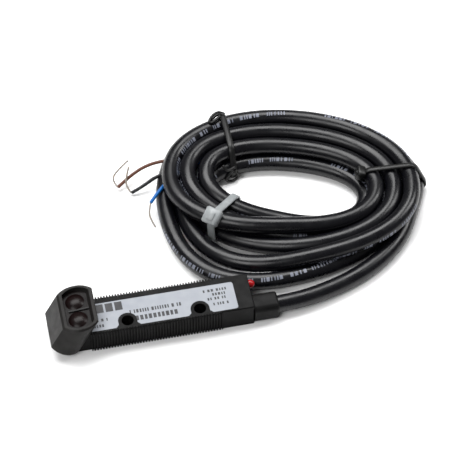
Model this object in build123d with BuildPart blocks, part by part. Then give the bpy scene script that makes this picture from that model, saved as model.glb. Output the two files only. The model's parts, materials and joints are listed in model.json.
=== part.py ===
"""Right-angle photoelectric sensor with a coiled three-wire cable.

A slim ribbed bar housing lies on its back cover, with its label up.  A leaning head at the -X end
looks upwards through a recessed lens plate, and the cable leaves the +X end through a strain relief.
Millimetres, +Z up, X along the bar; the origin is under the middle of the two mounting holes, on the
resting face, which is also the bottom centre of the sensor without its cable.
"""
from build123d import *
import os
from math import atan2, cos, pi, radians, sin, tan

os.makedirs("parts", exist_ok=True)

# ---------------------------------------------------------------- driving dimensions
hole_pitch = 25.4            # between the two mounting holes, along X
hole_y = -4.3                # the holes sit towards the front side
hole_d = 4.3
body_w = 15.9                # over the ribs
body_h = 9.5
body_x0, rib_x0, rib_x1, body_x1 = -31.0, -26.0, 20.0, 31.5   # neck start, ribs, cable end
end_w = 15.0                 # plain block at the cable end
neck_w = 14.4                # plain neck beside the head
neck_h = 9.2
rib_pitch, rib_gap, rib_depth = 1.0, 0.5, 0.7
rib_wrap = 1.7               # how far the back grooves run over the top edge
ceiling_z = 8.55             # underside of the top wall
cavity_w = 12.4
cavity_x0, cavity_x1 = -24.0, 29.5
cavity_r = 0.8
boss_d = 7.0                 # solid column around each hole
cover_t = 1.2
fit_gap = 0.05               # clearance between assembled shells
passage_w, passage_h, passage_z = 6.4, 3.0, 4.9   # opening from the bar into the head
board_x, board_length, board_z = -1.0, 42.0, 3.4

label_x0, label_x1 = -27.0, 25.9
label_y0, label_y1 = -6.75, 4.95
label_recess, label_t = 0.25, 0.15
notch_d, notch_foot = 6.5, 1.1   # the label is cut away around each hole, open to the front

lean = 26.5                  # head axis from the vertical, towards +X
head_t = 10.6                # across the head, square to its axis
head_flat = 14.6             # flat width of its faces
head_w = 20.0                # over its rounded sides
head_corner = (-40.35, 4.72)  # lower left corner, X and Z
window_left = (-35.1, 15.0)  # the rim's left and right corners, X and Z
window_right = (-22.7, 16.2)
head_wall = 1.3
plate_depth, plate_t = 1.7, 1.2
lens_d, lens_gap, lens_rise = 6.6, 7.6, 1.1
lens_shift = -0.9            # the lenses sit towards the head's left face
carrier_t = 3.2
head_reach = 40.0            # longer than the head, before the window's plane trims it
film_l, film_w, film_t = 5.6, 6.6, 0.25
carrier_bore_r = (2.7, 1.4)  # wide behind the lens, narrow at the chip
emitter_r, receiver_r = 1.3, 1.2
barrier_l, barrier_w = 7.2, 0.5
board_t = 0.8
flex_w, flex_t = 4.8, 0.2

gland_y, gland_z = -4.0, 4.15
gland_w, gland_x1 = 8.0, 40.3
gland_neck_d = 5.8           # through the end wall
cable_d = 6.2
cable_bore_x = 36.0          # the jacket ends here, inside the strain relief
wire_d, core_d = 1.25, 0.7
wire_pitch, wire_row_z = 1.4, 4.9   # the three wires side by side inside the gland
inner_wire_x, potting_x, potting_l = 17.6, 20.4, 6.6
led_d, led_y, led_z, led_out = 3.0, 4.5, 7.0, 2.3

# The cable lies on the surface and runs into the coil behind the sensor.
lead_route = [
    (cable_bore_x, gland_y, gland_z),
    (46.5, gland_y, gland_z),
    (58.5, -1.2, 3.4),
    (70.0, 2.8, 3.1),
    (81.0, 8.8, 3.1),
    (90.0, 17.2, 3.1),
    (95.2, 26.5, 3.1),
]
# Outer shape of the coil: the tied bundle, and two looser turns that have slipped forwards below it.
bundle = dict(centre=(55.8, 49.1), outer=(49.1, 33.4), turn=-15.0, height=13.4)
bundle_hole = dict(centre=(54.0, 44.1), outer=(26.1, 12.6), turn=-19.4)
loose = dict(centre=(54.6, 40.6), outer=(46.5, 33.8), turn=10.0, height=6.6)
loose_hole = dict(centre=(55.2, 41.2), outer=(34.5, 21.8), turn=8.0)
# Three wires leave the jacket inside the bundle and fan out to bare ends.
wire_routes = {
    "brown": [(37.0, 68.3, 4.0), (27.0, 67.6, 6.0), (17.0, 66.0, 7.0), (8.0, 66.6, 6.0),
              (0.6, 64.8, 3.6), (-5.0, 61.4, 1.6)],
    "black": [(37.0, 68.0, 3.0), (27.0, 65.0, 5.0), (17.0, 61.5, 6.0), (9.5, 61.2, 5.0),
              (3.5, 58.9, 2.6), (-0.6, 58.2, 1.2)],
    "blue": [(37.0, 67.6, 3.4), (26.0, 64.6, 5.0), (15.5, 59.5, 6.4), (11.0, 54.6, 7.0),
             (7.6, 51.2, 6.8), (4.9, 48.6, 5.6)],
}
core_routes = {
    "brown": [(-5.0, 61.4, 1.6), (-6.6, 63.4, 2.8), (-5.4, 66.2, 4.4), (0.2, 69.2, 6.4)],
    "black": [(-0.6, 58.2, 1.2), (-2.2, 60.4, 2.6), (-1.6, 63.2, 4.6), (0.0, 66.4, 6.2)],
    "blue": [(4.9, 48.6, 5.6), (3.8, 46.0, 5.0), (3.6, 43.2, 3.6), (5.0, 40.0, 2.0)],
}
# Ties round the bundle: a point in the band's plane, the cable's direction there in degrees, how far the
# band reaches to each side of that point (away from the coil's middle last), its width and thickness.
tie_white = dict(at=(27.6, 34.8), along=-42.0, reach=(-10.4, 8.4), width=2.9, thick=1.0)
tie_left = dict(at=(37.5, 66.0), along=0.0, reach=(-9.6, 18.0), width=2.2, thick=0.9)
tie_right = dict(at=(91.0, 42.0), along=82.0, reach=(-13.2, 11.4), width=2.0, thick=0.9)

holes_x = (-hole_pitch / 2, hole_pitch / 2)
written = []


def save(piece, name):
    piece.part.label = name
    export_step(piece.part, f"parts/{name}.step")
    written.append(name)


# ---------------------------------------------------------------- head geometry
axis = Vector(sin(radians(lean)), 0, cos(radians(lean)))
across = Vector(cos(radians(lean)), 0, -sin(radians(lean)))
head_base = Plane(origin=(head_corner[0], 0, head_corner[1]), x_dir=across, z_dir=axis)
tilt = atan2(window_right[1] - window_left[1], window_right[0] - window_left[0])
window_x = (window_left[0] + window_right[0]) / 2
window_z = (window_left[1] + window_right[1]) / 2


def window_plane(depth=0.0):
    """The plane of the window, moved into the head by depth."""
    normal = Vector(-sin(tilt), 0, cos(tilt))
    origin = Vector(window_x, 0, window_z) - normal * depth
    return Plane(origin=origin, x_dir=(cos(tilt), 0, sin(tilt)), z_dir=normal)


def optic_plane(side, depth):
    """Local frame on one of the two optical axes, side by side across the head."""
    plane = window_plane(depth)
    centre = plane.from_local_coords((lens_shift, side * lens_gap / 2, 0))
    return Plane(centre, x_dir=plane.x_dir, z_dir=plane.z_dir)


def head_outline(inset=0.0):
    """The head's section: flat front and back of the prism, with rounded sides."""
    flat, half, mid = head_flat / 2 - 0.55 * inset, head_w / 2 - inset, head_t / 2
    left, right = inset, head_t - inset
    with BuildLine() as outline:
        Line((left, flat), (left, -flat))
        ThreePointArc((left, -flat), (mid, -half), (right, -flat))
        Line((right, -flat), (right, flat))
        ThreePointArc((right, flat), (mid, half), (left, flat))
    return outline.line


def head_slice(inset, top, bottom):
    """A slice of the head's section between two depths below the window."""
    with BuildPart() as piece:
        with BuildSketch(head_base.offset(-5)):
            make_face(head_outline(inset))
        extrude(amount=head_reach)
        split(bisect_by=window_plane(top), keep=Keep.BOTTOM)
        split(bisect_by=window_plane(bottom), keep=Keep.TOP)
    return piece.part


# ---------------------------------------------------------------- label outline
def label_outline(clear=0.0):
    """Rectangle with rounded corners, cut away round the two holes; clear shrinks it."""
    length, width = label_x1 - label_x0, label_y1 - label_y0
    with BuildSketch(mode=Mode.PRIVATE) as face:
        with Locations(((label_x0 + label_x1) / 2, (label_y0 + label_y1) / 2)):
            RectangleRounded(length - 2 * clear, width - 2 * clear, 0.9)
        for x in holes_x:
            half, front = notch_d / 2 + clear, label_y0 - 1
            with Locations((x, hole_y)):
                Circle(half, mode=Mode.SUBTRACT)
            with BuildLine():
                Polyline((x - half, hole_y), (x - half, label_y0 + notch_foot),
                         (x - half - notch_foot, label_y0), (x - half - notch_foot, front),
                         (x + half + notch_foot, front), (x + half + notch_foot, label_y0),
                         (x + half, label_y0 + notch_foot), (x + half, hole_y), close=True)
            make_face(mode=Mode.SUBTRACT)
    return face.sketch


# ---------------------------------------------------------------- housing
with BuildPart() as housing:
    with BuildSketch():
        for x0, x1, width in ((rib_x0, rib_x1, body_w), (rib_x1, body_x1, end_w)):
            with Locations(((x0 + x1) / 2, 0)):
                Rectangle(x1 - x0, width)
    extrude(amount=body_h)
    fillet(housing.edges().filter_by(Axis.Z).group_by(Axis.X)[-1], 0.8)
    chamfer(housing.faces().sort_by(Axis.Z)[-1].outer_wire().edges(), 0.3)
    with BuildSketch():
        with Locations(((body_x0 - 3 + rib_x0) / 2, 0)):
            Rectangle(rib_x0 - body_x0 + 3, neck_w)
    extrude(amount=neck_h)
    # the neck butts on the head's slanted right face
    right_face = Plane(head_base.from_local_coords((head_t, 0, 0)), x_dir=(0, 1, 0), z_dir=across)
    split(bisect_by=right_face, keep=Keep.TOP)
    # grooves between the ribs on both sides; at the back they run over the top edge
    count = round((rib_x1 - rib_x0) / rib_pitch)
    mid_x = (rib_x0 + rib_x1) / 2
    with BuildSketch():
        for side in (-1, 1):
            with Locations((mid_x, side * (body_w / 2))):
                with GridLocations(rib_pitch, 0, count, 1):
                    Rectangle(rib_gap, 2 * rib_depth)
    extrude(amount=body_h, mode=Mode.SUBTRACT)
    with BuildSketch(Plane.XY.offset(body_h - 0.3)):
        with Locations((mid_x, body_w / 2)):
            with GridLocations(rib_pitch, 0, count, 1):
                Rectangle(rib_gap, 2 * rib_wrap)
    extrude(amount=1, mode=Mode.SUBTRACT)
    with BuildSketch(Plane.XY.offset(body_h - label_recess)):
        add(label_outline())
    extrude(amount=1, mode=Mode.SUBTRACT)
    # hollow from below, leaving a column round each hole
    with BuildSketch():
        with Locations(((cavity_x0 + cavity_x1) / 2, 0)):
            RectangleRounded(cavity_x1 - cavity_x0, cavity_w, cavity_r)
        with Locations(*[(x, hole_y) for x in holes_x]):
            Circle(boss_d / 2, mode=Mode.SUBTRACT)
    extrude(amount=ceiling_z, mode=Mode.SUBTRACT)
    with Locations(*[(x, hole_y, body_h) for x in holes_x]):
        Hole(hole_d / 2, depth=2 * body_h)
    # passage into the head, cable outlet and indicator hole
    with BuildSketch(Plane.YZ.offset(cavity_x0 + 0.5)):
        with Locations((0, passage_z)):
            Rectangle(passage_w, passage_h)
    extrude(amount=-12, mode=Mode.SUBTRACT)
    with BuildSketch(Plane.YZ.offset(cavity_x1 - cavity_r)):
        with Locations((gland_y, gland_z)):
            Circle(gland_neck_d / 2 + fit_gap)
        with Locations((led_y, led_z)):
            Circle(led_d / 2 + fit_gap)
    extrude(amount=5, mode=Mode.SUBTRACT)
save(housing, "housing")

with BuildPart() as back_cover:
    with BuildSketch():
        with Locations(((cavity_x0 + cavity_x1) / 2, 0)):
            RectangleRounded(cavity_x1 - cavity_x0 - 2 * fit_gap, cavity_w - 2 * fit_gap, 0.75)
        with Locations(*[(x, hole_y) for x in holes_x]):
            Circle(boss_d / 2 + fit_gap, mode=Mode.SUBTRACT)
    extrude(amount=cover_t)
save(back_cover, "back_cover")

with BuildPart() as label:
    with BuildSketch(Plane.XY.offset(body_h - label_recess)):
        add(label_outline(fit_gap))
    extrude(amount=label_t)
    split(bisect_by=right_face.offset(0.1), keep=Keep.TOP)
save(label, "label")

# ---------------------------------------------------------------- head
with BuildPart() as head_hood:
    with BuildSketch(head_base):
        make_face(head_outline())
    extrude(amount=head_reach)
    fillet(head_hood.faces().sort_by(Axis.Z)[0].edges(), 1.1)
    split(bisect_by=window_plane(), keep=Keep.BOTTOM)
    chamfer(head_hood.faces().sort_by(Axis.Z)[-1].outer_wire().edges(), 0.55)
    with BuildSketch(head_base.offset(head_wall)):
        make_face(head_outline(head_wall))
    extrude(amount=head_reach, mode=Mode.SUBTRACT)
    with BuildSketch(Plane.YZ.offset(-26)):
        with Locations((0, passage_z)):
            Rectangle(passage_w, passage_h)
    extrude(amount=-7, mode=Mode.SUBTRACT)
save(head_hood, "head_hood")

with BuildPart() as lens_plate:
    add(head_slice(head_wall + fit_gap, plate_depth, plate_depth + plate_t))
    for side in (-1, 1):
        with BuildSketch(optic_plane(side, plate_depth)):
            Circle(lens_d / 2 + fit_gap)
        extrude(amount=2 * plate_t, both=True, mode=Mode.SUBTRACT)
save(lens_plate, "lens_plate")

for side, lens_name, filter_name in ((1, "emitter_lens", "emitter_polarizer"),
                                     (-1, "receiver_lens", "receiver_polarizer")):
    # plano-convex lens in its seat, and the polarizing film behind it
    radius, rise = lens_d / 2, lens_rise
    crown = (radius**2 + rise**2) / (2 * rise)
    with BuildPart() as lens:
        with BuildSketch(optic_plane(side, plate_depth + plate_t)):
            Circle(radius)
        extrude(amount=plate_t)
        with Locations(optic_plane(side, plate_depth + crown - rise)):
            Sphere(crown)
        with BuildSketch(optic_plane(side, plate_depth + plate_t)):
            Circle(radius)
        extrude(amount=plate_t + rise, mode=Mode.INTERSECT)
    save(lens, lens_name)
    with BuildPart() as film:
        with BuildSketch(optic_plane(side, plate_depth + plate_t + 0.3)):
            Rectangle(film_l, film_w)
        extrude(amount=film_t)
    save(film, filter_name)

carrier_top = plate_depth + plate_t + 0.35
carrier_bottom = carrier_top + carrier_t
with BuildPart() as optics_carrier:
    add(head_slice(head_wall + fit_gap, carrier_top, carrier_bottom))
    for side in (-1, 1):
        with BuildSketch(optic_plane(side, carrier_top)):
            Circle(carrier_bore_r[0])
        with BuildSketch(optic_plane(side, carrier_bottom)):
            Circle(carrier_bore_r[1])
        loft(mode=Mode.SUBTRACT)
save(optics_carrier, "optics_carrier")

with BuildPart() as optics_board:
    add(head_slice(head_wall + 0.3, carrier_bottom + 0.05, carrier_bottom + 0.05 + board_t))
save(optics_board, "optics_board")

for side, name, bulb in ((1, "emitter_led", emitter_r), (-1, "receiver_diode", receiver_r)):
    with BuildPart() as chip:
        with BuildSketch(optic_plane(side, carrier_bottom)):
            Circle(bulb)
        extrude(amount=bulb)
        with Locations(optic_plane(side, carrier_bottom - bulb)):
            Sphere(bulb)
    save(chip, name)

# black barrier on the face between the lenses, which keeps the emitter's light from the receiver
with BuildPart() as light_barrier:
    with BuildSketch(window_plane(plate_depth)):
        Rectangle(barrier_l, barrier_w)
    extrude(amount=barrier_w)
save(light_barrier, "light_barrier")

# ---------------------------------------------------------------- electronics in the bar
board_top = board_z + board_t
with BuildPart() as circuit_board:
    with BuildSketch(Plane.XY.offset(board_z)):
        with Locations((board_x, 0)):
            RectangleRounded(board_length, cavity_w - 0.5, 0.5)
        with Locations(*[(x, hole_y) for x in holes_x]):
            Circle(boss_d / 2 + 0.3, mode=Mode.SUBTRACT)
        for x in holes_x:
            with Locations((x, hole_y - 2.5)):
                Rectangle(boss_d + 0.6, 5.0, mode=Mode.SUBTRACT)
    extrude(amount=board_t)
save(circuit_board, "circuit_board")


def board_block(name, x, y, length, width, height, edge, underside=False):
    """A moulded component standing on the board, or hanging under it."""
    with BuildPart() as block:
        with BuildSketch(Plane.XY.offset(board_z if underside else board_top)):
            with Locations((x, y)):
                Rectangle(length, width)
        extrude(amount=-height if underside else height)
        chamfer(block.edges().filter_by(Axis.Z), edge)
    save(block, name)


board_block("control_chip", -1.0, 1.2, 8.6, 3.9, 1.5, 0.2)
board_block("output_transistor", 14.5, 3.2, 4.6, 2.6, 1.6, 0.2)
board_block("voltage_regulator", 7.4, 3.4, 2.9, 1.6, 1.1, 0.15)
board_block("capacitor", -10.5, 3.3, 6.0, 3.2, 2.5, 0.3)
board_block("zener_diode", 14.8, 1.6, 3.4, 1.6, 1.4, 0.15, underside=True)

with BuildPart() as chip_resistors:
    with BuildSketch(Plane.XY.offset(board_top)):
        with Locations((-16.6, 3.5)):
            with GridLocations(1.8, 3.0, 2, 2):
                Rectangle(0.8, 1.6)
        with Locations((5.2, -2.2)):
            with GridLocations(1.8, 0, 2, 1):
                Rectangle(0.8, 1.6)
    extrude(amount=0.45)
save(chip_resistors, "chip_resistors")

# flexible strip from the optics board through the neck to the circuit board
with BuildPart() as head_flex:
    with BuildSketch(Plane.XZ.offset(-flex_w / 2)):
        with BuildLine():
            FilletPolyline((-33.5, 7.7), (-33.5, 5.0), (-23.2, 4.9), (-22.0, board_top + flex_t / 2),
                           (-20.2, board_top + flex_t / 2), radius=0.5)
        trace(line_width=flex_t)
    extrude(amount=flex_w)
save(head_flex, "head_flex")

with BuildPart() as indicator_led:
    led_x0, led_dome = 27.9, body_x1 + led_out - led_d / 2
    with BuildSketch(Plane.YZ.offset(led_x0)):
        with Locations((led_y, led_z)):
            Circle(led_d / 2)
    extrude(amount=led_dome - led_x0)
    with Locations((led_dome, led_y, led_z)):
        Sphere(led_d / 2)
save(indicator_led, "indicator_led")

# ---------------------------------------------------------------- strain relief and inner wires
inner_wires = {colour: (gland_y + step * wire_pitch, wire_row_z)
               for step, colour in ((-1, "brown"), (0, "black"), (1, "blue"))}
with BuildPart() as strain_relief:
    with BuildSketch(Plane.YZ.offset(body_x1)):
        with Locations((gland_y, gland_z)):
            RectangleRounded(gland_w, gland_w - 0.2, 2.2)
    extrude(amount=gland_x1 - body_x1)
    fillet(strain_relief.faces().sort_by(Axis.X)[-1].edges(), 0.85)
    with BuildSketch(Plane.YZ.offset(cavity_x1 - cavity_r)):
        with Locations((gland_y, gland_z)):
            Circle(gland_neck_d / 2)
    extrude(amount=body_x1 - cavity_x1 + cavity_r)
    with BuildSketch(Plane.YZ.offset(cavity_x1 - cavity_r)):
        with Locations((gland_y, (cover_t + ceiling_z) / 2)):
            Rectangle(4.2, ceiling_z - cover_t - 0.2)
    extrude(amount=-1.5)
    with BuildSketch(Plane.YZ.offset(cable_bore_x)):
        with Locations((gland_y, gland_z)):
            Circle(cable_d / 2 + fit_gap)
    extrude(amount=10, mode=Mode.SUBTRACT)
    with BuildSketch(Plane.YZ.offset(cable_bore_x + 1)):
        with Locations(*inner_wires.values()):
            Circle(wire_d / 2 + 0.01)
    extrude(amount=-20, mode=Mode.SUBTRACT)
save(strain_relief, "strain_relief")

for colour, spot in inner_wires.items():
    with BuildPart() as inner_wire:
        with BuildSketch(Plane.YZ.offset(inner_wire_x)):
            with Locations(spot):
                Circle(wire_d / 2)
        extrude(amount=cable_bore_x - inner_wire_x)
    save(inner_wire, f"inner_wire_{colour}")

with BuildPart() as potting:
    with BuildSketch(Plane.YZ.offset(potting_x)):
        with Locations((0, (cover_t + ceiling_z) / 2)):
            Rectangle(cavity_w - 0.2, ceiling_z - cover_t - 0.1)
        with Locations(*inner_wires.values()):
            Circle(wire_d / 2 + 0.01, mode=Mode.SUBTRACT)
    extrude(amount=potting_l)
save(potting, "potting")

# ---------------------------------------------------------------- the cable


def route_radii(points):
    """Largest arc at each corner that its two runs leave room for."""
    spots, radii = [Vector(*p) for p in points], []
    for a, b, c in zip(spots, spots[1:], spots[2:]):
        turn = radians((b - a).get_angle(c - b))
        radii.append(0.45 * min((b - a).length, (c - b).length) / tan(turn / 2))
    return radii


def tube(points, diameter):
    """A round tube along a route of straight runs and tangent arcs."""
    radii = route_radii(points)
    with BuildPart() as piece:
        with BuildLine() as path:
            FilletPolyline(*points, radius=radii)
        route = path.wire()
        with BuildSketch(Plane(route @ 0, z_dir=route % 0)):
            Circle(diameter / 2)
        sweep(path=route)
    share = piece.part.volume / (pi * diameter**2 / 4 * route.length)
    print(f"tube {diameter} mm, length {route.length:.1f} mm, volume {share:.4f} of section times length,"
          " radii", *[round(r, 1) for r in radii])
    return piece.part


def ring(shape, hole):
    """Oval ring of the coil's outer shape, standing on the surface."""
    with BuildPart() as piece:
        with BuildSketch():
            with Locations(Location((*shape["centre"], 0), (0, 0, shape["turn"]))):
                Ellipse(*shape["outer"])
            with Locations(Location((*hole["centre"], 0), (0, 0, hole["turn"]))):
                Ellipse(*hole["outer"], mode=Mode.SUBTRACT)
        extrude(amount=shape["height"])
        fillet(piece.edges().group_by(Axis.Z)[-1], 0.3 * shape["height"])
    return piece.part


def band(tie):
    """A flat band round the bundle: a closed loop that stands on the surface."""
    low, high = tie["reach"]
    height = bundle["height"] + tie["thick"]
    section = Plane(origin=(*tie["at"], 0), x_dir=Vector(1, 0, 0).rotate(Axis.Z, tie["along"] + 90),
                    z_dir=Vector(1, 0, 0).rotate(Axis.Z, tie["along"]))
    with BuildPart() as piece:
        with BuildSketch(section):
            with Locations(((low + high) / 2, height / 2)):
                RectangleRounded(high - low, height, 4.0)
                RectangleRounded(high - low - 2 * tie["thick"], height - 2 * tie["thick"], 3.0,
                                 mode=Mode.SUBTRACT)
        extrude(amount=tie["width"] / 2, both=True)
    return piece.part


lead = tube(lead_route, cable_d)
bands = {name: band(tie) for name, tie in
         (("cable_tie", tie_white), ("bundle_tie_left", tie_left), ("bundle_tie_right", tie_right))}

with BuildPart() as cable_coil:
    add(ring(bundle, bundle_hole))
    add(ring(loose, loose_hole))
    add(tube(lead_route, cable_d + 2 * fit_gap), mode=Mode.SUBTRACT)
    for piece in bands.values():
        add(piece, mode=Mode.SUBTRACT)
save(cable_coil, "cable_coil")

with BuildPart() as cable_lead:
    add(lead)
save(cable_lead, "cable_lead")

for name, piece in bands.items():
    with BuildPart() as loop:
        add(piece)
    save(loop, name)

for colour in wire_routes:
    with BuildPart() as wire:
        add(tube(wire_routes[colour], wire_d))
        add(cable_coil.part, mode=Mode.SUBTRACT)
    save(wire, f"wire_{colour}")
    with BuildPart() as core:
        add(tube(core_routes[colour], core_d))
        add(wire.part, mode=Mode.SUBTRACT)
    save(core, f"conductor_{colour}")

print(len(written), "nodes")
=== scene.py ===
"""Looks of the photoelectric sensor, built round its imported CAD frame. Metres, +Z up."""
import bisect
import json
import math
import random

import bmesh
import bpy
import numpy as np
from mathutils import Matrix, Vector


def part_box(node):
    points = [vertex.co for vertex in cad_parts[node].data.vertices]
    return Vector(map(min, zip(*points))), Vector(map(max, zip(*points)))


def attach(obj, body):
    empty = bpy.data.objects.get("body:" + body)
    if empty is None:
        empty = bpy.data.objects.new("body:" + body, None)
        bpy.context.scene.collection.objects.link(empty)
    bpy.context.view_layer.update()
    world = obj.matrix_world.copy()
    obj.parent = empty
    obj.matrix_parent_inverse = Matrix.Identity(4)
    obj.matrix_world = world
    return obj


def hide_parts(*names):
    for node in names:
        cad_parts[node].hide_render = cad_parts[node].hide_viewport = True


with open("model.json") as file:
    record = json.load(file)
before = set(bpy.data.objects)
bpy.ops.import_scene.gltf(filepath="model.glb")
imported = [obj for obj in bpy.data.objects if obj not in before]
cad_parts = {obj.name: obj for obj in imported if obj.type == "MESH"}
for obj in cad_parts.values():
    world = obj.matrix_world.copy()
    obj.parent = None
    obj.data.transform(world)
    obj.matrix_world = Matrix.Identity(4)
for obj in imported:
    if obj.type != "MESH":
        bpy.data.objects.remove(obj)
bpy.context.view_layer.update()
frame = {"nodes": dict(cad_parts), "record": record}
nodes = frame["nodes"]
MM = 0.001
scene = bpy.context.scene

# ------------------------------------------------------------------ camera
CAMERA_AT = Vector((-71.6, -469.9, 646.6)) * MM
CAMERA_LOOKS_AT = Vector((31.8, 33.9, 0.0)) * MM
SENSOR_WIDTH = 36.0          # the camera's own, in millimetres
CAMERA_LENS = 178.1
CAMERA_REACH = 10            # metres


def add_object(name, data):
    """A new object in the scene."""
    obj = bpy.data.objects.new(name, data)
    scene.collection.objects.link(obj)
    return obj


def add_camera():
    data = bpy.data.cameras.new("camera")
    data.lens = CAMERA_LENS
    data.sensor_width = SENSOR_WIDTH
    data.clip_end = CAMERA_REACH
    camera = add_object("camera", data)
    camera.location = CAMERA_AT
    camera.rotation_euler = (CAMERA_LOOKS_AT - CAMERA_AT).to_track_quat("-Z", "Y").to_euler()
    scene.camera = camera


def add_area_light(name, at, size, power):
    """A rectangular light, its sides in metres, turned to the middle of the sensor and its coil."""
    data = bpy.data.lights.new(name, "AREA")
    data.shape = "RECTANGLE"
    data.size, data.size_y = size
    data.energy = power
    light = add_object(name, data)
    light.location = at
    light.rotation_euler = (Vector(LIT_SPOT) - Vector(at)).to_track_quat("-Z", "Y").to_euler()


# ------------------------------------------------------------------ materials
def new_material(name):
    """A node material, with its node tree and its shader node."""
    material = bpy.data.materials.new(name)
    material.use_nodes = True
    tree = material.node_tree
    return material, tree, tree.nodes["Principled BSDF"]


def set_inputs(tree, node, values):
    """Sets a node's inputs to values, or joins them to sockets."""
    for key, value in values.items():
        if isinstance(value, bpy.types.NodeSocket):
            tree.links.new(value, node.inputs[key])
        else:
            node.inputs[key].default_value = value


def add_node(tree, kind, values):
    """A new node with these inputs."""
    node = tree.nodes.new(kind)
    set_inputs(tree, node, values)
    return node


def place(tree):
    """Each object's own coordinates, in metres."""
    return add_node(tree, "ShaderNodeTexCoord", {}).outputs["Object"]


def noise(tree, scale, detail):
    """Noise of so many features a metre."""
    return add_node(tree, "ShaderNodeTexNoise", {"Vector": place(tree), "Scale": scale,
                                                 "Detail": detail}).outputs["Fac"]


def ramp(tree, value, stops):
    """A colour ramp through (position, colour) stops; a single number is a grey."""
    node = add_node(tree, "ShaderNodeValToRGB", {"Fac": value})
    elements = node.color_ramp.elements
    while len(elements) < len(stops):
        elements.new(0.5)
    for element, (position, colour) in zip(elements, stops):
        element.position = position
        element.color = (*colour, 1) if isinstance(colour, tuple) else (colour, colour, colour, 1)
    return node.outputs["Color"]


def bump(tree, height, strength, distance):
    return add_node(tree, "ShaderNodeBump", {"Height": height, "Strength": strength,
                                             "Distance": distance}).outputs["Normal"]


def plastic(name, dark, light, rough, grain, strength, shine=0.3, coat=0.0):
    """Moulded plastic: a faint mottled colour, uneven gloss and a fine spark-eroded grain."""
    material, tree, shader = new_material(name)
    set_inputs(tree, shader, {
        "Base Color": ramp(tree, noise(tree, 220, 5), [(0.3, dark), (0.72, light)]),
        "Roughness": ramp(tree, noise(tree, 350, 4), [(0.3, rough - 0.06), (0.7, rough + 0.08)]),
        "Specular IOR Level": shine,
        "Coat Weight": coat,
        "Coat Roughness": 0.12,
        "Normal": bump(tree, noise(tree, grain, 2), strength, 0.00005),
    })
    return material


def pvc(name, dark, light, rough):
    """Extruded soft jacket: glossy, with a slow unevenness and faint handling dust."""
    material, tree, shader = new_material(name)
    dust = ramp(tree, noise(tree, 1400, 6), [(0.62, dark), (0.8, light)])
    wave = bump(tree, noise(tree, 130, 2), 0.35, 0.0003)
    grain = add_node(tree, "ShaderNodeBump", {"Height": noise(tree, 2600, 2), "Strength": 0.05,
                                              "Distance": 0.00004, "Normal": wave}).outputs["Normal"]
    set_inputs(tree, shader, {
        "Base Color": dust,
        "Roughness": ramp(tree, noise(tree, 180, 4), [(0.3, rough - 0.05), (0.7, rough + 0.09)]),
        "Specular IOR Level": 0.34,
        "Normal": grain,
    })
    return material


def clear(name, dark, light, rough, transmission, shine=0.5):
    """Tinted clear plastic or epoxy, polished, with slight flow marks."""
    material, tree, shader = new_material(name)
    set_inputs(tree, shader, {
        "Base Color": ramp(tree, noise(tree, 300, 3), [(0.3, dark), (0.7, light)]),
        "Roughness": ramp(tree, noise(tree, 700, 3), [(0.3, rough), (0.7, rough + 0.06)]),
        "Transmission Weight": transmission,
        "Specular IOR Level": shine,
        "Normal": bump(tree, noise(tree, 90, 2), 0.1, 0.00005),
    })
    return material


def nylon(name):
    """Natural nylon: milky, slightly translucent, with a fine grain."""
    material, tree, shader = new_material(name)
    set_inputs(tree, shader, {
        "Base Color": ramp(tree, noise(tree, 400, 4), [(0.3, (0.22, 0.235, 0.24)),
                                                       (0.7, (0.28, 0.295, 0.3))]),
        "Roughness": ramp(tree, noise(tree, 900, 3), [(0.3, 0.34), (0.7, 0.46)]),
        "Subsurface Weight": 0.15,
        "Subsurface Radius": (0.002, 0.002, 0.002),
        "Subsurface Scale": 0.5,
        "Normal": bump(tree, noise(tree, 1500, 2), 0.15, 0.00006),
    })
    return material


def tinned(name):
    """Tinned copper: dull grey metal with warmer patches."""
    material, tree, shader = new_material(name)
    set_inputs(tree, shader, {
        "Base Color": ramp(tree, noise(tree, 900, 4), [(0.35, (0.3, 0.29, 0.28)),
                                                       (0.75, (0.42, 0.34, 0.27))]),
        "Roughness": ramp(tree, noise(tree, 1500, 3), [(0.3, 0.34), (0.7, 0.5)]),
        "Metallic": 1.0,
    })
    return material


def solder_mask(name):
    """Printed board: green mask with a grid of lighter tracks."""
    material, tree, shader = new_material(name)
    tracks = add_node(tree, "ShaderNodeTexBrick", {"Vector": place(tree), "Scale": 380.0, "Mortar Size": 0.03,
                                                   "Color1": (0.01, 0.13, 0.05, 1),
                                                   "Color2": (0.015, 0.17, 0.07, 1),
                                                   "Mortar": (0.05, 0.28, 0.12, 1)})
    set_inputs(tree, shader, {
        "Base Color": tracks.outputs["Color"],
        "Roughness": ramp(tree, noise(tree, 600, 3), [(0.3, 0.25), (0.7, 0.4)]),
    })
    return material


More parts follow.
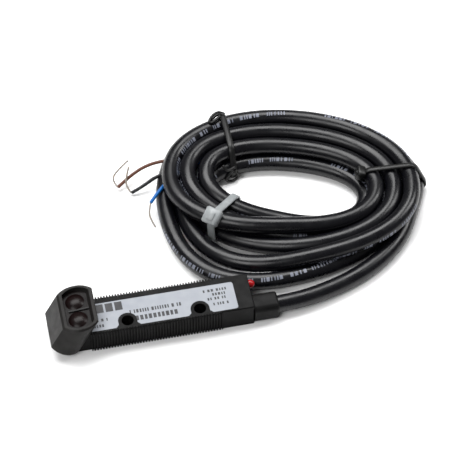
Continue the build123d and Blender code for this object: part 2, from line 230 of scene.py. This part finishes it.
SLOT_MATERIALS = {
    "housing": plastic("housing_plastic", 0.002, 0.0055, 0.42, 2600, 0.35, shine=0.07),
    "hood": plastic("hood_plastic", (0.009, 0.0084, 0.008), (0.017, 0.016, 0.0153), 0.4, 2200, 0.3,
                    shine=0.1),
    "back_cover": plastic("cover_plastic", 0.003, 0.008, 0.5, 2200, 0.3, shine=0.07),
    "label": plastic("label_film", (0.25, 0.265, 0.295), (0.29, 0.305, 0.33), 0.36, 3200, 0.1,
                     shine=0.12),
    "window": plastic("window_acrylic", (0.002, 0.0015, 0.0015), (0.005, 0.003, 0.003), 0.3, 900, 0.05,
                      shine=0.08),
    "lens": clear("lens_acrylic", (0.004, 0.002, 0.002), (0.007, 0.003, 0.003), 0.26, 0.05, shine=0.12),
    "film": clear("polarizing_film", (0.12, 0.1, 0.1), (0.2, 0.17, 0.16), 0.1, 0.6),
    "carrier": plastic("carrier_plastic", 0.008, 0.016, 0.6, 2400, 0.3),
    "emitter": clear("emitter_epoxy", (0.6, 0.06, 0.05), (0.75, 0.1, 0.08), 0.08, 0.5),
    "receiver": clear("receiver_epoxy", (0.03, 0.025, 0.04), (0.06, 0.05, 0.07), 0.08, 0.3),
    "indicator": clear("indicator_epoxy", (0.28, 0.004, 0.006), (0.42, 0.01, 0.012), 0.2, 0.1, shine=0.3),
    "board": solder_mask("board_mask"),
    "flex": plastic("flex_film", (0.42, 0.2, 0.05), (0.58, 0.3, 0.08), 0.3, 1800, 0.1),
    "chip": plastic("chip_epoxy", 0.014, 0.03, 0.55, 3000, 0.4),
    "ceramic": plastic("ceramic", (0.42, 0.3, 0.17), (0.55, 0.42, 0.26), 0.45, 2800, 0.3),
    "potting": plastic("potting_epoxy", 0.03, 0.06, 0.4, 600, 0.2),
    "strain_relief": plastic("relief_rubber", 0.0025, 0.007, 0.46, 1800, 0.3, shine=0.09),
    "jacket": pvc("jacket_pvc", (0.0022, 0.0022, 0.0034), (0.008, 0.008, 0.011), 0.27),
    "wire_brown": pvc("wire_brown_pvc", (0.09, 0.032, 0.018), (0.14, 0.055, 0.035), 0.34),
    "wire_black": pvc("wire_black_pvc", (0.004, 0.004, 0.006), (0.01, 0.01, 0.012), 0.34),
    "wire_blue": pvc("wire_blue_pvc", (0.003, 0.1, 0.34), (0.02, 0.16, 0.42), 0.34),
    "copper": tinned("tinned_copper"),
    "tie_white": nylon("natural_nylon"),
    "tie_black": plastic("black_nylon", 0.003, 0.009, 0.38, 2400, 0.3, shine=0.3),
}
MARK_INK = plastic("mark_ink", (0.1, 0.11, 0.14), (0.2, 0.21, 0.25), 0.5, 2600, 0.2)
LABEL_INK = plastic("label_ink", (0.008, 0.008, 0.01), (0.03, 0.03, 0.035), 0.45, 2600, 0.2)


def dress_frame():
    """Gives every node of the frame the material of its record slot."""
    slots = {part["node"]: part["material_slot"] for part in frame["record"]["subparts"]}
    for name, obj in nodes.items():
        obj.data.materials.clear()
        obj.data.materials.append(SLOT_MATERIALS[slots[name]])


# ------------------------------------------------------------------ the cable
CABLE = 6.2 * MM             # diameter
# Points of the cable from the strain relief to where its first turn starts, in millimetres.
LEAD = [
    (36.0, -4.0, 4.15),
    (46.5, -4.0, 4.15),
    (58.5, -1.2, 3.4),
    (70.0, 2.8, 3.1),
    (81.0, 8.8, 3.1),
    (90.0, 17.2, 3.1),
    (95.2, 26.5, 3.1),
]
# The coil's turns are laid outwards from an inner oval, towards an outer one, and its two slack loops
# follow a third. Each oval is its centre, half axes in millimetres, and turn in degrees.
INNER_OVAL = ((54.0, 44.1), (29.2, 15.7), -19.4)
OUTER_OVAL = ((55.8, 49.1), (46.0, 30.3), -15.0)
SLACK_OVAL = ((56.4, 36.8), (46.3, 28.3), 5.2)
SLACK_LAG = 23.0             # the slack oval's own angle trails by this much
ROW_RISE = 0.87              # height of a row of turns over the one it lies on, in diameters
# Angle along the coil, diameters out from the innermost turn, row, share of the slack oval, and
# diameters inside the slack oval.
COURSE = [
    (0, 2.4, 0, 0, 0), (90, 2.8, 0, 0, 0), (150, 2.0, 0, 0, 0), (195, 1.4, 0, 0, 0), (235, 1.6, 0, 1, -0.05),
    (330, 2.2, 0.1, 1, -0.05), (345, 2.0, 0.5, 0.7, 0.1), (360, 1.9, 0.3, 0, 0), (380, 1.85, 0, 0, 0),
    (450, 1.9, 0, 0, 0), (500, 1.4, 0, 0, 0), (540, 0.6, 0, 0, 1.1), (568, 0.6, 0, 0, 1.1),
    (600, 1.0, 0, 1, 1.05),
    (660, 1.4, 0.1, 0.9, 0.9), (688, 1.7, 0.7, 0.4, 0.9), (708, 1.8, 1.1, 0, 0),
    (735, 2.05, 1.1, 0, 0), (810, 2.75, 1, 0, 0), (860, 2.5, 1, 0, 0), (900, 2.1, 1, 0, 0),
    (945, 1.0, 1, 0, 0), (990, -0.15, 1, 0, 0), (1035, 0.1, 1.1, 0, 0),
    (1080, 0.6, 1.2, 0, 0), (1170, 0.45, 0.9, 0, 0), (1260, 0.3, 1.2, 0, 0), (1305, -0.2, 0.9, 0, 0),
    (1350, -0.5, 0, 0, 0),
    (1440, 0, 0, 0, 0), (1530, 0, 0, 0, 0), (1620, 0, 0, 0, 0), (1665, 0.9, 0.1, 0, 0),
    (1710, 1.0, 0.75, 0, 0),
    (1755, 1.15, 0.9, 0, 0), (1800, 1.3, 1, 0, 0), (1890, 1.25, 1.1, 0, 0), (1980, 1.1, 1, 0, 0),
    (2025, 0.7, 0.5, 0, 0), (2070, 0.4, 0, 0, 0),
    (2160, 0.95, 0, 0, 0), (2250, 0.95, 0, 0, 0), (2290, 0.8, 0, 0, 0),
]
STEP_DEGREES = 9.0
BLUNTNESS = 2.2              # exponent of the ovals: above 2 their ends are blunter than an ellipse's
EASE = 2.5                   # how far a change of place is spread along the coil, in steps
STIFFNESS = 1.9              # how far a nudge from another turn is spread, in steps
OWN_STEPS = 5                # points this near along the cable don't push each other
PUSH_REACH = 5.0             # nor do points further apart than this along its run, in millimetres
PUSH_SHARE = 0.9             # share of an overlap that one round takes away
SINK = 0.06                  # how far the turns sink in a round, in millimetres
HOLD = 0.985                 # share of its shift that a point keeps from round to round
OBSTACLE_STEP = 4.0          # between points of the lead that the turns must clear, in millimetres


def oval(shape, angle):
    """Points of an oval at these angles, in degrees."""
    (cx, cy), (a, b), turn = shape
    t, w = np.radians(angle), math.radians(turn)
    c, s = np.cos(t), np.sin(t)
    grow = (np.abs(c) ** BLUNTNESS + np.abs(s) ** BLUNTNESS) ** (-1 / BLUNTNESS)
    x, y = a * c * grow, b * s * grow
    return np.stack([cx + x * math.cos(w) - y * math.sin(w), cy + x * math.sin(w) + y * math.cos(w)], 1)


def spreader(count, reach):
    """A matrix that spreads shifts along the cable, as its stiffness against bending does."""
    bend = np.diff(np.eye(count), 2, axis=0)
    return np.linalg.inv(np.eye(count) + reach ** 4 * bend.T @ bend)


def unit(vectors):
    """The directions of these rows."""
    return vectors / np.maximum(np.linalg.norm(vectors, axis=1)[:, None], 1e-6)


def coil_course():
    """The coil's centreline before its turns settle, in millimetres."""
    course = np.array(COURSE, float)
    angle = np.arange(course[0, 0], course[-1, 0], STEP_DEGREES)
    knots = np.stack([np.interp(angle, course[:, 0], course[:, i]) for i in range(1, 5)], 1)
    lane, row, slack, inset = (spreader(len(angle), EASE) @ knots).T[:, :, None]
    thick = CABLE / MM
    inner = oval(INNER_OVAL, angle)
    bundle = inner + unit(oval(OUTER_OVAL, angle) - inner) * lane * thick
    loose = oval(SLACK_OVAL, angle - SLACK_LAG)
    loose += unit(np.array(SLACK_OVAL[0]) - loose) * inset * thick
    return np.hstack([bundle * (1 - slack) + loose * slack, thick * (0.5 + ROW_RISE * row)])


def settle(line, fixed, rounds=400):
    """Pushes the turns apart and lets them bend and sink like a cable; a little overlap is left."""
    thick = CABLE / MM
    start = line.copy()
    held = len(fixed)
    both = np.vstack([fixed, line])
    index = np.arange(len(both))
    far = np.abs(index[:, None] - index[None, :]) > OWN_STEPS
    spread = spreader(len(line), STIFFNESS)
    for _ in range(rounds):
        along = unit(np.gradient(both, axis=0))
        gap = both[:, None, :] - both[None, :, :]
        run = (gap * along[None, :, :]).sum(2)
        off = gap - run[:, :, None] * along[None, :, :]
        size = np.linalg.norm(off, axis=2)
        near = far & (np.abs(run) < PUSH_REACH) & (size < thick)
        push = np.where(near, (thick - size) / np.maximum(size, 0.1), 0.0)[:, :, None] * off
        hits = np.maximum(near.sum(1), 1)[:, None]
        shift = both[held:] - start + (PUSH_SHARE * push.sum(1) / np.sqrt(hits))[held:]
        shift[:, 2] -= SINK
        shift *= HOLD
        both[held:] = start + spread @ shift
        both[held:, 2] = np.maximum(both[held:, 2], thick / 2)
    return both[held:]


def spline_curve(name, points, thickness, rings=4, sides=3):
    """A round cord along one smooth open spline; points are in metres."""
    data = bpy.data.curves.new(name, "CURVE")
    data.dimensions = "3D"
    data.resolution_u = rings
    data.bevel_depth = thickness / 2
    data.bevel_resolution = sides
    data.use_fill_caps = True
    spline = data.splines.new("NURBS")
    spline.points.add(len(points) - 1)
    for point, place_at in zip(spline.points, points):
        point.co = (*place_at, 1)
    spline.order_u = 3
    spline.use_endpoint_u = True
    return add_object(name, data)


def lead_obstacle():
    """Points close together along the lead, which the coil's turns must clear."""
    route = np.array(LEAD, float)
    steps = np.concatenate([[0], np.cumsum(np.linalg.norm(np.diff(route, axis=0), axis=1))])
    at = np.arange(0, steps[-1], OBSTACLE_STEP)
    return np.stack([np.interp(at, steps, route[:, i]) for i in range(3)], 1)


def line_of(points, rings):
    """Closely spaced points along the smooth line through a route."""
    curve = spline_curve("line", points, 0.0, rings)
    mesh = bpy.data.meshes.new_from_object(curve)
    spots = [vertex.co.copy() for vertex in mesh.vertices]
    bpy.data.objects.remove(curve)
    bpy.data.meshes.remove(mesh)
    return spots


# ------------------------------------------------------------------ mesh helpers
def add_loft(mesh, rings, closed=False):
    """Joins rings of points into one skin: a closed loop, or a body with two end faces."""
    rows = [[mesh.verts.new(point) for point in ring] for ring in rings]
    for a, b in zip(rows, rows[1:] + (rows[:1] if closed else [])):
        for i in range(len(a)):
            j = (i + 1) % len(a)
            mesh.faces.new((a[i], a[j], b[j], b[i]))
    if not closed:
        mesh.faces.new(rows[0][::-1])
        mesh.faces.new(rows[-1])


def declare(piece, slot, replaced=(), material=None):
    """Makes an object a piece of the sensor, in its slot's material unless another is given."""
    piece.data.materials.append(material or SLOT_MATERIALS[slot])
    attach(piece, "root")
    if replaced:
        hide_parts(*replaced)


def mesh_piece(name, mesh, slot, replaced=(), material=None, smooth=True):
    """Finishes a mesh as a piece of the sensor."""
    bmesh.ops.recalc_face_normals(mesh, faces=mesh.faces)
    for face in mesh.faces:
        face.smooth = smooth
    data = bpy.data.meshes.new(name)
    mesh.to_mesh(data)
    mesh.free()
    piece = add_object(name, data)
    declare(piece, slot, replaced, material)
    return piece


def rounded_section(half_width, half_height, corner):
    """Corner points of a flat bar's section with rounded edges, going round."""
    w, h, c = half_width, half_height, corner
    return [(-w, -h + c), (-w + c, -h), (w - c, -h), (w, -h + c),
            (w, h - c), (w - c, h), (-w + c, h), (-w, h - c)]


def tube_rings(spots, radius, offset=0.0, start=0.0, pitch=1.0, sides=6):
    """Rings of a thin round strand that winds about a line at an offset."""
    rings, travelled = [], 0.0
    for i, spot in enumerate(spots):
        ahead, behind = spots[min(i + 1, len(spots) - 1)], spots[max(i - 1, 0)]
        along = (ahead - behind).normalized()
        side = along.cross(Vector((0, 0, 1))).normalized()
        up = side.cross(along)
        if i:
            travelled += (spot - spots[i - 1]).length
        turn = start + 2 * math.pi * travelled / pitch
        middle = spot + offset * (side * math.cos(turn) + up * math.sin(turn))
        around = [2 * math.pi * k / sides for k in range(sides)]
        rings.append([middle + radius * (side * math.cos(t) + up * math.sin(t)) for t in around])
    return rings


# ------------------------------------------------------------------ ties round the bundle
STRAP_ROUND, BLOCK_ROUND = 0.3, 0.16    # rounding of edges, as shares of the thickness
BLOCK_ENDS = ((-0.5, 0.8), (-0.42, 1.0), (0.42, 1.0), (0.5, 0.8))    # place along a block, size there


class TiePlane:
    """The plane in which a tie goes round the strands, and the tight loop it makes there.

    It is given by a point, the cable's direction there in degrees, how far its strands lie across from the
    point to each side, and the strap's width and thickness, all in millimetres.
    """

    def __init__(self, at, along, reach, width, thick):
        angle = math.radians(along)
        self.at = Vector((*at, 0))
        self.side = Vector((math.cos(angle), math.sin(angle), 0))
        self.across = Vector((-math.sin(angle), math.cos(angle), 0))
        self.reach, self.width, self.thick = reach, width, thick

    def crossings(self, turns):
        """Where strands pass through the plane, as (across, height)."""
        places = [Vector(p) - self.at for p in turns]
        found = []
        for a, b in zip(places, places[1:]):
            u, v = a.dot(self.side), b.dot(self.side)
            if (u < 0) != (v < 0):
                middle = a.lerp(b, u / (u - v))
                if self.reach[0] < middle.dot(self.across) < self.reach[1]:
                    found.append((middle.dot(self.across), middle.z))
        return found

    def support(self, strands, turn, clear):
        """The tight loop's point where its outward direction is turn radians from across, and that way."""
        out = (math.cos(turn), math.sin(turn))
        far = max(strands, key=lambda c: c[0] * out[0] + c[1] * out[1])
        radius = CABLE / MM / 2 + clear
        flat = self.at + self.across * (far[0] + radius * out[0])
        height = max(far[1] + radius * out[1], self.thick / 2)
        return flat + Vector((0, 0, height)), self.across * out[0] + Vector((0, 0, out[1]))

    def band(self, mesh, turns, steps=96):
        """Adds the strap to a mesh and gives the strands it holds."""
        strands = self.crossings(turns)
        section = rounded_section(self.width / 2, self.thick / 2, STRAP_ROUND * self.thick)
        rings = []
        for k in range(steps):
            middle, outward = self.support(strands, 2 * math.pi * k / steps, self.thick / 2)
            rings.append([(middle + self.side * w + outward * h) * MM for w, h in section])
        add_loft(mesh, rings, closed=True)
        return strands

    def block(self, mesh, strands, turn, size, lift):
        """Adds a block on the strap, with its length round the loop, width and height."""
        length, width, height = size
        middle, outward = self.support(strands, turn, lift)
        forward = outward.cross(self.side)
        rings = []
        for step, share in BLOCK_ENDS:
            section = rounded_section(share * width / 2, share * height / 2, BLOCK_ROUND * height)
            rings.append([(middle + forward * length * step + self.side * w + outward * h) * MM
                          for w, h in section])
        add_loft(mesh, rings)


WHITE_TIE = TiePlane((27.6, 34.8), along=-42.0, reach=(-9.5, 13.0), width=2.9, thick=1.0)
LEFT_TIE = TiePlane((37.5, 66.0), along=0.0, reach=(-10.0, 18.0), width=2.2, thick=0.9)
RIGHT_TIE = TiePlane((91.0, 42.0), along=82.0, reach=(-15.0, 9.0), width=2.0, thick=0.9)
WHITE_HEAD, WHITE_COLLAR, BUCKLE = (math.radians(turn) for turn in (122, 100, 22))
OUTER_KNOT, INNER_KNOT = (math.radians(turn) for turn in (48, 150))


def white_tie(turns):
    """Nylon cable tie: strap, ratchet head with a raised square on it, and a collar beside the head."""
    mesh = bmesh.new()
    strands = WHITE_TIE.band(mesh, turns)
    WHITE_TIE.block(mesh, strands, WHITE_HEAD, (6.0, 5.8, 3.8), lift=1.9)
    WHITE_TIE.block(mesh, strands, WHITE_HEAD, (3.2, 2.6, 0.7), lift=3.9)
    WHITE_TIE.block(mesh, strands, WHITE_COLLAR, (2.6, 3.4, 1.2), lift=1.5)
    return mesh_piece("cable_tie_strap", mesh, "tie_white", ["cable_tie"])


# Ends of the twist tie, as steps from its knots along the cable, in plan and up, in millimetres.
TWIST_WIRE = 1.1             # thickness of those ends
TWIST_LIFT = 0.9             # of the knots over the strands
OUTER_CURLS = [
    [(1.0, 0.0, -0.4), (-0.8, 0.6, 0.7), (-2.8, -0.4, 1.1), (-4.6, -1.8, 0.9), (-5.6, -3.4, 0.5),
     (-4.6, -4.4, 0.9), (-2.8, -3.6, 1.3), (-1.0, -2.0, 1.3)],
    [(0.4, -1.2, 0.4), (-1.4, -0.6, 1.1), (-3.6, -1.8, 0.6), (-5.4, -2.6, 0.2)],
]
INNER_CURLS = [
    [(0.6, 0.8, 1.0), (-1.6, -0.2, 0.8), (-3.4, -0.6, 1.8), (-4.0, 0.8, 3.0)],
    [(0.2, 0.4, 0.6), (-1.8, -0.6, -1.0), (-3.4, -0.8, -3.0), (-2.6, -1.0, -4.4), (-0.6, -1.0, -4.6),
     (1.2, -1.0, -3.4), (1.6, -0.8, -1.4), (0.4, -0.4, 0.2)],
]


def left_tie(turns):
    """Coated-wire twist tie: its band, a knot on the coil's outer side, and its curled ends."""
    mesh = bmesh.new()
    strands = LEFT_TIE.band(mesh, turns)
    outer, _ = LEFT_TIE.support(strands, OUTER_KNOT, TWIST_LIFT)
    inner, _ = LEFT_TIE.support(strands, INNER_KNOT, TWIST_LIFT)
    for start, offsets in ((outer, OUTER_CURLS), (inner, INNER_CURLS)):
        for curl in offsets:
            spots = line_of([(start + Vector(step)) * MM for step in curl], 8)
            add_loft(mesh, tube_rings(spots, TWIST_WIRE * MM / 2, sides=8))
    return mesh_piece("twist_tie", mesh, "tie_black", ["bundle_tie_left"])


def right_tie(turns):
    """Narrow black tie with a small square buckle on the coil's inner side."""
    mesh = bmesh.new()
    strands = RIGHT_TIE.band(mesh, turns)
    RIGHT_TIE.block(mesh, strands, BUCKLE, (4.2, 4.4, 3.0), lift=1.5)
    RIGHT_TIE.block(mesh, strands, BUCKLE, (2.2, 2.4, 0.5), lift=3.1)
    return mesh_piece("buckle_tie", mesh, "tie_black", ["bundle_tie_right"])


# ------------------------------------------------------------------ wires and their bare ends
WIRE, CORE = 1.25 * MM, 0.7 * MM    # diameters of the insulation and of the bare strands together
# The wires from inside the bundle to where their insulation ends, and the bare cores from there.
WIRE_ROUTES = {
    "brown": [(37.0, 68.3, 4.0), (27.0, 67.6, 6.0), (17.0, 66.0, 7.0), (8.0, 66.6, 6.0),
              (0.6, 64.8, 3.6), (-5.0, 61.4, 1.6)],
    "black": [(37.0, 68.0, 3.0), (27.0, 65.0, 5.0), (17.0, 61.5, 6.0), (9.5, 61.2, 5.0),
              (3.5, 58.9, 2.6), (-0.6, 58.2, 1.2)],
    "blue": [(37.0, 67.6, 3.4), (26.0, 64.6, 5.0), (15.5, 59.5, 6.4), (11.0, 54.6, 7.0),
             (7.6, 51.2, 6.8), (4.9, 48.6, 5.6)],
}
CORE_ROUTES = {
    "brown": [(-5.0, 61.4, 1.6), (-6.6, 63.4, 2.8), (-5.4, 66.2, 4.4), (0.2, 69.2, 6.4)],
    "black": [(-0.6, 58.2, 1.2), (-2.2, 60.4, 2.6), (-1.6, 63.2, 4.6), (0.0, 66.4, 6.2)],
    "blue": [(4.9, 48.6, 5.6), (3.8, 46.0, 5.0), (3.6, 43.2, 3.6), (5.0, 40.0, 2.0)],
}
STRANDS_ROUND = 6            # fine strands laid round a middle one
STRAND = CORE / 3
STRAND_PITCH = 7 * MM


def run_length(points):
    """The length of a line through these points."""
    return sum((b - a).length for a, b in zip(points, points[1:]))


def add_wires():
    """Three insulated wires out of the cable's end, each with a twisted bare conductor."""
    for colour, points in WIRE_ROUTES.items():
        route = [Vector(p) * MM for p in points]
        wire = spline_curve(f"{colour}_wire", route, WIRE, rings=10, sides=4)
        declare(wire, f"wire_{colour}", [f"wire_{colour}"])
        mesh = bmesh.new()
        spots = line_of([Vector(p) * MM for p in CORE_ROUTES[colour]], 12)
        add_loft(mesh, tube_rings(spots, STRAND / 2))
        for k in range(STRANDS_ROUND):
            start = 2 * math.pi * k / STRANDS_ROUND
            add_loft(mesh, tube_rings(spots, STRAND / 2, STRAND, start, STRAND_PITCH))
        core = mesh_piece(f"{colour}_strands", mesh, "copper", [f"conductor_{colour}"])
        run_length(line_of(route, 10))


# ------------------------------------------------------------------ marks on the jacket and label
MARK_TALL, MARK_PROUD = 1.5 * MM, 0.02 * MM
MARK_TWIST = 0.33            # metres of cable in which the printed side goes once round
MARK_TURN = 2.2              # where the printed side faces at the start, in radians
MARK_START, MARK_STOP = 0.09, 0.03    # metres left plain at the sensor's end and at the far end
MARK_WIDTHS, MARK_GAPS = (0.35, 0.5, 0.5, 1.1), (0.4, 0.55, 0.8)    # in millimetres
WORD_GAPS = (1.6, 2.2, 2.2, 14.0)


def jacket_marks(spots):
    """Rows of plain short bars along the jacket, in place of its print."""
    picks = random.Random(11)
    mesh = bmesh.new()
    steps = [0.0]
    for a, b in zip(spots, spots[1:]):
        steps.append(steps[-1] + (b - a).length)

    def ring(distance):
        """Outline of a mark's cut across the jacket, this far along it."""
        i = min(bisect.bisect(steps, distance), len(spots) - 1)
        share = (distance - steps[i - 1]) / (steps[i] - steps[i - 1])
        middle = spots[i - 1].lerp(spots[i], share)
        along = (spots[i] - spots[i - 1]).normalized()
        side = along.cross(Vector((0, 0, 1))).normalized()
        up = side.cross(along)
        facing = MARK_TURN + 2 * math.pi * distance / MARK_TWIST
        half = MARK_TALL / CABLE
        turns_round = [facing + half * k for k in (-1, -0.33, 0.33, 1)]
        high, low = CABLE / 2 + MARK_PROUD, CABLE / 2 - 4 * MARK_PROUD
        outer = [middle + high * (side * math.cos(t) + up * math.sin(t)) for t in turns_round]
        inner = [middle + low * (side * math.cos(t) + up * math.sin(t)) for t in reversed(turns_round)]
        return outer + inner

    at = MARK_START
    while at < steps[-1] - MARK_STOP:
        for _ in range(picks.randint(3, 9)):
            wide = picks.choice(MARK_WIDTHS) * MM
            add_loft(mesh, [ring(at), ring(at + wide)])
            at += wide + picks.choice(MARK_GAPS) * MM
        at += picks.choice(WORD_GAPS) * MM
    return mesh_piece("jacket_marks", mesh, "label", material=MARK_INK, smooth=False)


# Rows of plain bars on the label: start, end, middle height, bar height, in millimetres.
LABEL_ROWS = [
    (-25.8, -19.0, -2.4, 1.2), (-25.8, -19.6, -4.8, 1.2),
    (-11.4, 6.6, -0.9, 1.5), (-9.8, 5.4, -3.9, 2.0),
    (15.0, 23.2, 2.6, 1.1), (18.0, 23.2, 0.8, 1.1), (16.0, 23.2, -1.0, 1.1), (17.6, 23.2, -3.4, 1.1),
]
BOLD_ROW = 3
BOLD_WIDTHS, BOLD_GAP = (0.9, 1.1, 1.3), 0.5
FINE_WIDTHS, FINE_GAPS = (0.45, 0.6, 0.8), (0.4, 0.4, 1.0)
SHORTEST_BAR = 0.5
LABEL_BLOCKS = [(-26.0, -23.4), (-22.7, -20.1), (-19.4, -16.8), (-16.1, -13.5)]    # start and end of each
BLOCK_BASE, BLOCK_TOP = 0.7, 4.3


def label_marks():
    """Plain bars in place of the label's print."""
    picks = random.Random(5)
    mesh = bmesh.new()
    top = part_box("label")[1][2]

    def bar(x0, x1, y0, y1):
        corners = [(x0 * MM, y0 * MM), (x1 * MM, y0 * MM), (x1 * MM, y1 * MM), (x0 * MM, y1 * MM)]
        add_loft(mesh, [[(x, y, top + z) for x, y in corners] for z in (-MARK_PROUD, MARK_PROUD)])

    for start, end in LABEL_BLOCKS:
        bar(start, end, BLOCK_BASE, BLOCK_TOP)
    for row, (start, end, middle, tall) in enumerate(LABEL_ROWS):
        bold = row == BOLD_ROW
        at = start
        while at < end - SHORTEST_BAR:
            wide = picks.choice(BOLD_WIDTHS if bold else FINE_WIDTHS)
            bar(at, min(at + wide, end), middle - tall / 2, middle + tall / 2)
            at += wide + (BOLD_GAP if bold else picks.choice(FINE_GAPS))
    mesh_piece("label_marks", mesh, "label", material=LABEL_INK, smooth=False)


# ------------------------------------------------------------------ floor and light
FLOOR_REACH, FLOOR_DROP = 3.0, 0.0001    # its half side, and how far it is under the sensor
SKY_STRENGTH = 0.16
LIT_SPOT = (0.035, 0.035, 0)


def add_floor():
    data = bpy.data.meshes.new("floor")
    corners = [(x * FLOOR_REACH, y * FLOOR_REACH, 0) for x, y in ((-1, -1), (1, -1), (1, 1), (-1, 1))]
    data.from_pydata(corners, [], [(0, 1, 2, 3)])
    floor = add_object("floor", data)
    floor.location.z = -FLOOR_DROP
    paper, tree, shader = new_material("paper")
    set_inputs(tree, shader, {
        "Base Color": ramp(tree, noise(tree, 8, 3), [(0.3, 0.93), (0.7, 0.96)]),
        "Roughness": 0.9,
    })
    data.materials.append(paper)


def add_lights():
    world = bpy.data.worlds.new("studio")
    scene.world = world
    world.use_nodes = True
    sky = world.node_tree.nodes["Background"].inputs
    sky["Color"].default_value = (1, 1, 1, 1)
    sky["Strength"].default_value = SKY_STRENGTH
    add_area_light("top", (-0.05, 0.45, 0.95), size=(1.0, 0.6), power=17)
    add_area_light("front", (-0.5, -0.5, 0.8), size=(0.6, 0.5), power=6)
    add_area_light("right", (0.8, 0.2, 0.7), size=(0.3, 0.5), power=4.5)


# ------------------------------------------------------------------ the whole scene
add_camera()
scene.view_settings.view_transform = "Standard"
dress_frame()
turns = settle(coil_course(), lead_obstacle())
route = [Vector(p) * MM for p in LEAD] + [Vector(p) * MM for p in turns]
cable = spline_curve("cable", route, CABLE, rings=4, sides=5)
declare(cable, "jacket", ["cable_coil", "cable_lead"])
spots = line_of(route, 10)
on_cable = [white_tie(turns), left_tie(turns), right_tie(turns), jacket_marks(spots)]
add_wires()
label_marks()
add_floor()
add_lights()

bpy.context.view_layer.update()
